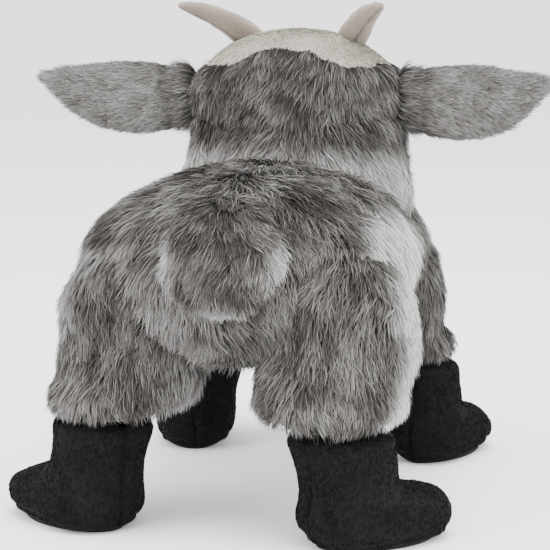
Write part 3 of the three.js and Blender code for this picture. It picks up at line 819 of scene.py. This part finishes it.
def ear_stations(side):
    # how far out from and above the root, half height and half thickness
    rows = [
        (0, 0, 0, 0), (2, 0, 0.66, 3.8), (16, -1, 0.88, 4.4), (36, -2, 1.04, 4.4), (56, -1, 1.02, 4.2),
        (76, 2, 0.82, 3.6), (93, 7, 0.48, 2.8), (103, 10, 0.22, 2), (107, 11, 0, 0),
    ]
    x, y, z = EAR_ROOT
    reach = rows[-1][0]
    return [
        (side * (x - 4 + out / reach * 99), y + 0.0018 * out * out, z + rise, half * 21.5, thick)
        for out, rise, half, thick in rows
    ]


def in_lining(p, n):
    """On the front of an ear, inside its rim."""
    return (n[:, 1] < -0.35) & (np.abs(p[:, 2] - 242) < 17)


tail = mesh_object("tail_backing", *form(tail_stations(), around=40, rings=30))
tail.data.materials.append(UNDER_GREY)
ears = {}
for word, side in SIDES.items():
    skin = form(ear_stations(side), side=(0, 0, 1), around=40, rings=40, inset=0.6)
    ear = mesh_object(f"{word}_ear_backing", *skin)
    ear.data.materials.append(UNDER_GREY)
    ear.data.materials.append(UNDER_PINK)
    middles = np.array([f.center[:] for f in ear.data.polygons]) / MM
    facing = np.array([f.normal[:] for f in ear.data.polygons])
    ear.data.polygons.foreach_set("material_index", in_lining(middles, facing).astype(np.int32))
    ears[word] = ear

# ---------- pile ----------

pile = {}
near_legs = [(key, 2.5) for key in LEGS]


def add_pile(key, *args, **kw):
    pile[key] = strands(*args, **kw)


def underneath(p, n):
    return by_belly(p) & (n[:, 2] < -0.6)


def leg_length(p, n):
    """Shorter towards the hem above the boot."""
    return 10.5 + 6.5 * smoothstep(p[:, 2], BOOT_TOP + 8, BOOT_TOP + 34)


for key, quarter in (
    ("back_left", lambda p: (p[:, 0] >= 0) & (p[:, 1] > 20)),
    ("back_right", lambda p: (p[:, 0] < 0) & (p[:, 1] > 20)),
    ("front_left", lambda p: (p[:, 0] >= 0) & (p[:, 1] <= 20)),
    ("front_right", lambda p: (p[:, 0] < 0) & (p[:, 1] <= 20)),
):
    add_pile(key, f"body_pile_{key}", torso, FUR, 105000, 19, torso_flow, torso_shade,
             keep=lambda p, n: quarter(p) & ~underneath(p, n), avoid=[*near_legs, ("neck", 2.5)])
add_pile("belly", "belly_pile", torso, CREAM, 60000, 7, torso_flow, plain_shade(0.5), lift=50,
         keep=underneath, avoid=near_legs, clump=5, width=0.5)
for name, leg in LEGS.items():
    rear = name.endswith("rear")
    add_pile(name, f"{name}_leg_pile", legs[name], FUR, 26000 if rear else 17000, leg_length, leg_flow,
             leg_shade(leg["side"], rear), avoid=[("torso", 2.0)], droop=0.3,
             keep=lambda p, n: (p[:, 2] > BOOT_TOP + 5.5) & (n[:, 2] > -0.5))
add_pile("neck", "neck_pile", neck, FUR, 60000, 20, neck_flow, neck_shade, lift=41,
         avoid=[("torso", 3.0), ("head", 2.5)])
add_pile("head", "head_pile", head, FUR, 60000, lambda p, n: 16.5 - 10.5 * smoothstep(-p[:, 1], 62, 100),
         head_flow, head_shade, avoid=[("neck", 2.5)],
         keep=lambda p, n: ~is_crown(p) & (muzzle_share(p) < rng.random(len(p))))
add_pile("muzzle", "muzzle_pile", head, CREAM, 40000, lambda p, n: 6.5 - 3.0 * smoothstep(-p[:, 1], 120, 155),
         head_flow, plain_shade(0.55), lift=30, avoid=[("neck", 2.5)], clump=5, width=0.5, droop=0.05,
         keep=lambda p, n: ~is_crown(p) & (muzzle_share(p) > rng.random(len(p))))
add_pile("crown", "crown_pile", head, CREAM, 190000, 3.8, crown_flow, plain_shade(0.62, 0.1), lift=30,
         keep=lambda p, n: is_crown(p), clump=5, gather=0.12, width=0.5, droop=0.05, swirl=0.3)
add_pile("tail", "tail_pile", tail, FUR, 15000, 14, tail_flow, tail_shade, droop=0.15)
for word, side in SIDES.items():
    add_pile(f"{word}_ear", f"{word}_ear_pile", ears[word], FUR, 26000,
             lambda p, n: 8.5 + 6.5 * smoothstep(-np.abs(p[:, 0]), -86, -70), ear_flow(side), ear_shade,
             keep=lambda p, n: ~in_lining(p, n) & (np.abs(p[:, 0]) > EAR_ROOT[0] - 3),
             lift=15, jitter=0.13, swirl=0.2, droop=0.03, clump=5, gather=0.3, width=0.45)
    add_pile(f"{word}_ear_lining", f"{word}_ear_lining_pile", ears[word], PINK_FUZZ, 9000, 4.0,
             lining_flow(side), plain_shade(0.5), keep=in_lining,
             lift=26, swirl=0.3, droop=0.0, clump=4, gather=0.3, width=0.4)

# ---------- boots ----------

def turned(v, degrees):
    """Turns points about the upright axis, in place."""
    a = math.radians(degrees)
    x, y = v[:, 0].copy(), v[:, 1].copy()
    v[:, 0], v[:, 1] = x * math.cos(a) - y * math.sin(a), x * math.sin(a) + y * math.cos(a)
    return v


def boot_parts(leg):
    """An upright shaft and a foot that is turned out at the ankle."""
    side, wide = leg["side"], BOOT_HALF_WIDTH * leg["boot"]
    ax, ay = leg["ankle"]

    def at(z):
        return (side * (ax + BOOT_LEAN * (1 - z / BOOT_TOP)), ay, z)

    shaft = form([
        (*at(BOOT_TOP + 6), 0, 0), (*at(BOOT_TOP + 3), 0.9 * wide, 0.92 * wide),
        (*at(BOOT_TOP - 6), 0.95 * wide, wide), (*at(0.5 * BOOT_TOP), 0.93 * wide, 0.98 * wide),
        (*at(0.2 * BOOT_TOP), 0.9 * wide, wide),
        (*at(3), 0.8 * wide, 0.9 * wide), (*at(0.5), 0, 0),
    ], level=True, inset=0.8)
    v, f = form([
        (0, HEEL, 13, 0, 0), (0, HEEL - 5, 14, 0.6 * wide, 13), (0, HEEL - 20, 16, 0.93 * wide, 20),
        (0, HEEL - 44, 16, wide, 21), (0, HEEL - 68, 14, 0.94 * wide, 18),
        (0, HEEL - 85, 12, 0.66 * wide, 14), (0, HEEL - BOOT_LENGTH, 11, 0, 0),
    ], inset=0.8)
    turned(v, side * leg["toe"])
    v += np.array([side * (ax + BOOT_LEAN), ay, 0.0])
    return [shaft, (v, f)]


def foot_frame(p, leg):
    """Points in the foot's own frame: x across it, y towards the heel."""
    q = p - np.array([leg["side"] * (leg["ankle"][0] + BOOT_LEAN), leg["ankle"][1], 0.0])
    return turned(q, -leg["side"] * leg["toe"])


def shape_boot(boot, leg):
    """Pulled-in seams up the heel and round the foot above the sole, a cleft toe, an ankle crease
    and a little sag."""
    co, normal = points_of(boot), normals_of(boot)
    q = foot_frame(co, leg)
    heel_seam = np.exp(-(q[:, 0] / 1.6) ** 2) * smoothstep(q[:, 1], 6, 16)
    sole_seam = np.exp(-((co[:, 2] - 7.0) / 1.8) ** 2)
    cleft = np.exp(-(q[:, 0] / 2.4) ** 2) * smoothstep(-q[:, 1], 30, 50)
    sag = 1.3 * noise(co, 26, 61) * smoothstep(co[:, 2], 4, 20)
    ankle = np.exp(-((co[:, 2] - 33 + 0.10 * q[:, 1]) / 4.5) ** 2) * smoothstep(-q[:, 1], 4, 22)
    co += normal * (sag - 2.4 * heel_seam - 1.2 * sole_seam - 3.4 * cleft - 1.6 * ankle)[:, None]
    co[:, 2] = np.maximum(co[:, 2], 0.8)
    set_points(boot, co)


boots = {}
for name, leg in LEGS.items():
    boot = join(f"{name}_boot_cover", boot_parts(leg))
    remesh(boot, 4.0, 6)
    fill_out(boot, 2.0)
    remesh(boot, 2.4, 14)
    shape_boot(boot, leg)
    boot.data.materials.append(BLACK_CLOTH)
    boots[name] = boot
    add_pile(f"{name}_boot", f"{name}_boot_pile", boot, BLACK_FUZZ, 26000, 2.6, boot_flow,
             plain_shade(0.45, 0.2), keep=lambda p, n: (n[:, 2] > -0.6) & (p[:, 2] > 2.4), lift=34,
             clump=3.5, gather=0.2, width=0.42, droop=0.1, swirl=0.5)

# ---------- horns ----------

HORN_AROUND, HORN_RINGS = 64, 72


def horn_stations(side):
    """Out, back and up from the crown, thinning to the tip."""
    x, y, z = 0.46 * HEAD_HALF_WIDTH, SKULL_BACK_Y - 0.33 * HEAD_LENGTH, HEAD_Z + 0.8 * HEAD_HALF_HEIGHT
    steps = [
        (-5, -12, -13, 0), (-3, -9, -8, 0.98), (1, -3, -2, 1), (9, 9, 7, 0.92),
        (18, 26, 15, 0.74), (27, 41, 20, 0.5), (32, 50, 22, 0.28), (34, 54, 22, 0),
    ]
    return [
        (side * (x + out), y + back, z + up, r * HORN_RADIUS, 0.82 * r * HORN_RADIUS)
        for out, back, up, r in steps
    ]


def sew_horn(horn):
    """A sewn seam along the back of the horn and one along its front, each in a shallow valley, with
    small folds that fade towards the tip."""
    co, normal = points_of(horn), normals_of(horn)
    rows = HORN_RINGS - 1
    ring = np.concatenate([[0], np.tile(np.arange(HORN_AROUND), rows), [0]])
    angle = ring / HORN_AROUND * 2 * math.pi
    off_seam = np.minimum(np.abs(angle - math.pi / 2), np.abs(angle - 3 * math.pi / 2))
    seam = np.exp(-(off_seam / 0.15) ** 2)
    up = np.concatenate([[0], np.repeat(np.linspace(0, 1, rows), HORN_AROUND), [1]])
    folds = np.sin(up * 46 + 2 * np.sin(angle * 2)) * 0.22 * (1 - up)
    co += normal * (folds - 1.1 * seam * (1 - 0.6 * up) + 0.35 * noise(co, 9, 71))[:, None]
    set_points(horn, co)
    thread = 0.75 * seam**2.5 * smoothstep(up, 0.1, 0.2) * (1 - smoothstep(up, 0.72, 0.9))
    give_attribute(horn.data, "seam", thread)


horns = {}
for word, side in SIDES.items():
    skin = form(horn_stations(side), around=HORN_AROUND, rings=HORN_RINGS)
    horns[word] = mesh_object(f"{word}_horn_cover", *skin)
    sew_horn(horns[word])
    horns[word].data.materials.append(SUEDE)


def tube(name, path, radius, material, sides=8):
    """A round thread through the points."""
    p = np.asarray(path, float)
    t = np.gradient(p, axis=0)
    t /= np.linalg.norm(t, axis=1)[:, None]
    up = np.where(np.abs(t[:, 2:]) > 0.9, np.array([[1.0, 0, 0]]), np.array([[0, 0, 1.0]]))
    u = np.cross(t, up)
    u /= np.linalg.norm(u, axis=1)[:, None]
    v = np.cross(t, u)
    a = np.linspace(0, 2 * math.pi, sides, endpoint=False)
    ring = p[:, None] + radius * (u[:, None] * np.cos(a)[:, None] + v[:, None] * np.sin(a)[:, None])
    verts = np.concatenate([ring.reshape(-1, 3), p[:1], p[-1:]])
    made = mesh_object(name, verts, skin_faces(len(p), sides, 0, len(verts) - 2, len(verts) - 1))
    made.data.materials.append(material)
    return made


# ---------- face ----------

EYE_PLACE = np.array([
    0.68 * HEAD_HALF_WIDTH, SKULL_BACK_Y - 0.53 * HEAD_LENGTH, HEAD_Z + 0.26 * HEAD_HALF_HEIGHT,
])
NOSE_Y, NOSE_Z = SKULL_BACK_Y - HEAD_LENGTH, HEAD_Z - 33
AROUND = 48  # facets round an eye and the nose


def unit_dome(angles, floor):
    """Rings of points on a unit ball at angles from its top, one point at the top and one at floor.
    Returns the points and the faces."""
    turns = np.linspace(0, 2 * math.pi, AROUND, endpoint=False)
    rings = [
        (math.sin(a) * math.cos(b), math.sin(a) * math.sin(b), math.cos(a))
        for a in angles for b in turns
    ]
    points = np.array([(0.0, 0.0, 1.0), *rings, (0.0, 0.0, floor)])
    return points, skin_faces(len(angles), AROUND, 1, 0, len(points) - 1)


def make_eye(word, side):
    """A low dome that looks out, forward and up, with the colour's radius and the pupil as attributes,
    and a rolled lid of dark cloth round its upper edge."""
    aim = np.array([side * 0.86, -0.42, 0.28])
    aim /= np.linalg.norm(aim)
    across = np.cross([0, 0, 1.0], aim)
    across /= np.linalg.norm(across)
    rise = np.cross(aim, across)
    centre = EYE_PLACE * np.array([side, 1, 1]) + aim * 0.6
    local, faces = unit_dome(np.linspace(0, math.pi / 2 * 1.15, 20)[1:], -0.55)
    v = centre + EYE_RADIUS * (local[:, :1] * across + local[:, 1:2] * rise) + 5.4 * local[:, 2:] * aim
    eye = mesh_object(f"{word}_eye_dome", v, faces)
    give_attribute(eye.data, "radial", np.hypot(local[:, 0], local[:, 1]))
    pupil = 1 - smoothstep(np.abs(local[:, 1]), 0.20, 0.28)
    pupil *= 1 - smoothstep(np.abs(local[:, 0]), 0.50, 0.60)
    give_attribute(eye.data, "pupil", pupil * (local[:, 2] > 0))
    eye.data.materials.append(EYE)
    path = [
        centre + 8.7 * (math.cos(a) * across + math.sin(a) * rise) + (1.6 + 1.2 * math.sin(a)) * aim
        for a in np.linspace(math.radians(-12), math.radians(192), 40)
    ]
    return eye, tube(f"{word}_eyelid", path, 1.5, FELT, 12)


def make_nose():
    """A felt pad, narrower at its foot, with two nostrils pressed into its front."""
    local, faces = unit_dome(np.linspace(0, math.pi, 25)[1:-1], -1.0)
    v = np.stack([12.5 * local[:, 0], -6.5 * local[:, 2], 8.5 * local[:, 1]], 1)
    v[:, 2] *= 1 - 0.28 * np.abs(v[:, 0]) / 12.5 * (v[:, 2] < 0)
    nostril = np.exp(-(((np.abs(v[:, 0]) - 6) / 2.2) ** 2 + ((v[:, 2] + 1.5) / 1.6) ** 2))
    v[:, 1] += 2.6 * nostril * (local[:, 2] > 0)
    v += np.array([0, NOSE_Y + 2.5, NOSE_Z + 3])
    made = mesh_object("nose_pad", v, faces)
    made.data.materials.append(FELT)
    return made


def on_head(x, z, lift):
    """The point on the front of the muzzle at x and z."""
    hit, n, _, _ = trees["head"].ray_cast(Vector((x, NOSE_Y - 40, z)), Vector((0, 1, 0)))
    return np.array(hit) + np.array(n) * lift if hit else np.array([x, NOSE_Y + 6, z])


def lip_height(x):
    """How far below the nose the mouth is: lower beside the middle, rising to the corners."""
    return -7 - 5.5 * math.sin(min(x, 12) / 12 * math.pi / 2) + 0.02 * x * x


eyes, lids = {}, {}
for word, side in SIDES.items():
    eyes[word], lids[word] = make_eye(word, side)
nose = make_nose()
THREAD_LIFT, THREAD_RADIUS = 2.2, 0.8
mouth = []
for word, side in SIDES.items():
    path = [on_head(side * x, NOSE_Z + lip_height(x), THREAD_LIFT) for x in np.linspace(0, 17, 22)]
    mouth.append(tube(f"{word}_mouth_stitch", path, THREAD_RADIUS, DARK_THREAD))
path = [on_head(0, z, THREAD_LIFT) for z in np.linspace(NOSE_Z - 2, NOSE_Z - 7, 8)]
mouth.append(tube("lip_stitch", path, THREAD_RADIUS, DARK_THREAD))

# ---------- soles ----------

SOLE_POINTS = 72


def sole_outline(leg):
    """The foot's outline on the floor: rounder at the heel, with the toe's cleft."""
    wide = BOOT_HALF_WIDTH * leg["boot"]
    turns = np.linspace(0, 2 * math.pi, SOLE_POINTS, endpoint=False)
    y = HEEL - 46 + 38 * np.cos(turns)
    x = np.sin(turns) * wide * (0.74 - 0.06 * np.cos(turns)) * (1 - 0.10 * np.cos(turns) ** 4)
    x -= np.sign(x) * 5.0 * np.exp(-((turns - math.pi) / 0.16) ** 2)
    outline = np.stack([x, y + 4.5 * np.exp(-((turns - math.pi) / 0.14) ** 2), 0 * x], 1)
    ankle = np.array([leg["side"] * (leg["ankle"][0] + BOOT_LEAN), leg["ankle"][1], 0])
    return turned(outline, leg["side"] * leg["toe"]) + ankle


soles = {}
for name, leg in LEGS.items():
    outline = sole_outline(leg)
    middle = outline.mean(0)
    rows = []
    for z, inset in ((0.0, 0.10), (0.0, 0.04), (0.6, 0.01), (1.6, 0.0), (3.2, 0.02), (3.6, 0.10)):
        ring = outline + (middle - outline) * inset
        ring[:, 2] = z
        rows.append(ring)
    v = np.concatenate([*rows, [middle], [middle + np.array([0, 0, 3.6])]])
    faces = skin_faces(len(rows), SOLE_POINTS, 0, len(v) - 2, len(v) - 1)
    soles[name] = mesh_object(f"{name}_sole_cover", v, faces)
    soles[name].data.materials.append(SOLE_CLOTH)

# ---------- what moves with what ----------

for key in ("back_left", "back_right", "front_left", "front_right", "belly"):
    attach(pile[key], "body")
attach(torso, "body")
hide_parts("body_skin", "belly_panel", "body_stuffing")

for obj in (neck, pile["neck"]):
    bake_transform(obj)
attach(head, "head")
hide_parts("head_skin", "crown_patch", "muzzle_skin", "head_stuffing")
for key, slot in (("head", "grey_fur"), ("muzzle", "cream_pile"), ("crown", "cream_pile")):
    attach(pile[key], "head")
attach(nose, "head")
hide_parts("nose")
for obj in mouth:
    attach(obj, "head")
for word in SIDES:
    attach(eyes[word], "head")
    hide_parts(f"{word}_eye")
    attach(lids[word], "head")
    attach(horns[word], "head")
    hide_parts(f"{word}_horn_skin", f"{word}_horn_stuffing")
    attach(ears[word], f"{word}_ear")
    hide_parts(f"{word}_ear_back", f"{word}_ear_lining")
    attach(pile[f"{word}_ear"], f"{word}_ear")
    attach(pile[f"{word}_ear_lining"], f"{word}_ear")
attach(tail, "tail")
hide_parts("tail_panel", "tail_lining")
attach(pile["tail"], "tail")
for name, leg in LEGS.items():
    for obj in (legs[name], pile[name]):
        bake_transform(obj)
    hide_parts(f"{name}_leg_skin", f"{name}_leg_stuffing")
    for obj in (boots[name], pile[f"{name}_boot"], soles[name]):
        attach(obj, f"{name}_leg")
    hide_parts(f"{name}_boot")
    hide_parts(f"{name}_sole")

for name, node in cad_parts.items():
    if not node.hide_render:
        node.data.materials.clear()
        node.data.materials.append(WIRE if "wire" in name else WASHER if "washer" in name else WADDING)

# ---------- room, light and camera ----------

floor_mesh = bpy.data.meshes.new("floor")
floor_mesh.from_pydata([(-6, -6, 0), (6, -6, 0), (6, 6, 0), (-6, 6, 0)], [], [(0, 1, 2, 3)])
floor_material, _, _, shader = new_material("pale_floor", 0.9)
shader.inputs["Base Color"].default_value = (0.95, 0.95, 0.95, 1)
floor_mesh.materials.append(floor_material)
new_object("floor", floor_mesh)

world = bpy.data.worlds.new("studio")
world.use_nodes = True
sky = world.node_tree.nodes["Background"]
sky.inputs["Color"].default_value = (1, 1, 1, 1)
sky.inputs["Strength"].default_value = 2.3
bpy.context.scene.world = world


def place_facing(obj, place, target):
    """Sets a lamp or the camera at a place in metres, facing the target."""
    obj.location = place
    obj.rotation_mode = "QUATERNION"
    obj.rotation_quaternion = (Vector(target) - obj.location).to_track_quat("-Z", "Y")


for name, place, target, size, power in (
    ("overhead", (-0.3, 0.5, 2.2), (0, 0, 0.1), 1.6, 75),
    ("left_box", (1.5, 1.6, 1.2), (0, 0, 0.15), 1.2, 40),
    ("right_box", (-1.9, 1.0, 1.0), (0, 0, 0.15), 1.2, 26),
):
    lamp = bpy.data.lights.new(name, "AREA")
    lamp.size = size
    lamp.energy = power
    place_facing(new_object(name, lamp), place, target)

camera_data = bpy.data.cameras.new("camera")
camera_data.lens = 128.1
camera_data.sensor_width = 36
camera = new_object("camera", camera_data)
place_facing(camera, (-0.316, 1.172, 0.312), (-0.005, 0.025, 0.1353))
bpy.context.scene.camera = camera

bpy.context.view_layer.update()
